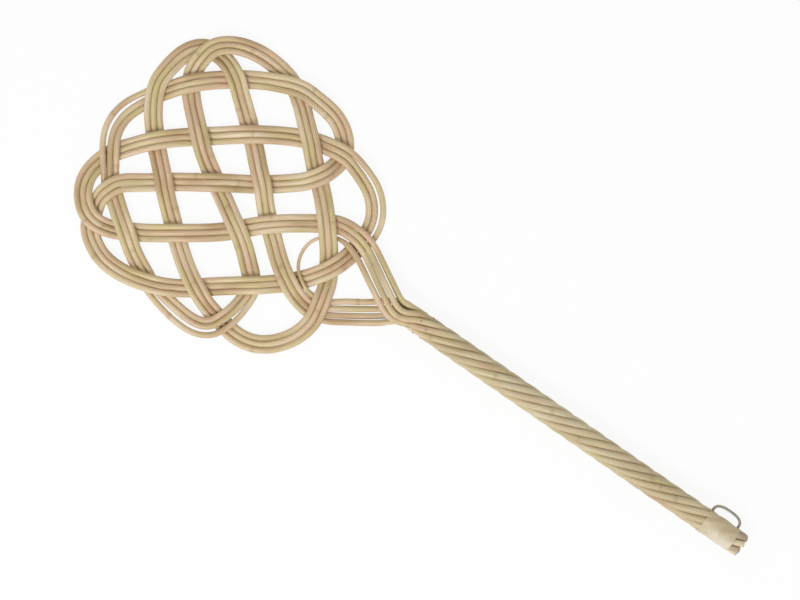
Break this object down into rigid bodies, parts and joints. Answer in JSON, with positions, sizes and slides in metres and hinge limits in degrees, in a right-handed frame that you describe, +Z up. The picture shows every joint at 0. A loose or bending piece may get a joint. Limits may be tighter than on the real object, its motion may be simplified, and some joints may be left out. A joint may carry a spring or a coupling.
{
  "type": "carpet beater",
  "caption": "Flat knotted rattan carpet beater with a spiral-laid cane handle, a taped handle end and a small hanging bow.",
  "frame": {"origin": "middle of the part's box, on the surface that the beater lies on", "axes": "+X along the handle from the head to the handle's end, +Y across the head on the hanging bow's side, +Z up from the flat of the head"},
  "size_m": [0.6996, 0.2564, 0.025],
  "materials": {
    "rattan": "peeled, smooth, satin",
    "core": "raw cane, matt",
    "tape": "smooth woven tape, satin",
    "bow": "waxed cord, matt",
    "brad": "drawn wire, bright"
  },
  "bodies": {
    "root": {"outer_cane": "rattan", "middle_cane": "rattan", "inner_cane": "rattan", "neck_loop_cane": "rattan", "core_stick": "core", "end_tape": "tape", "hanging_bow": "bow", "neck_brad_1": "brad", "neck_brad_2": "brad", "neck_brad_3": "brad", "neck_brad_4": "brad", "neck_brad_5": "brad", "neck_brad_6": "brad", "neck_brad_7": "brad", "neck_brad_8": "brad", "end_brad_1": "brad", "end_brad_2": "brad", "end_brad_3": "brad", "end_brad_4": "brad", "end_brad_5": "brad", "end_brad_6": "brad", "end_brad_7": "brad", "end_brad_8": "brad"}
  },
  "joints": []
}
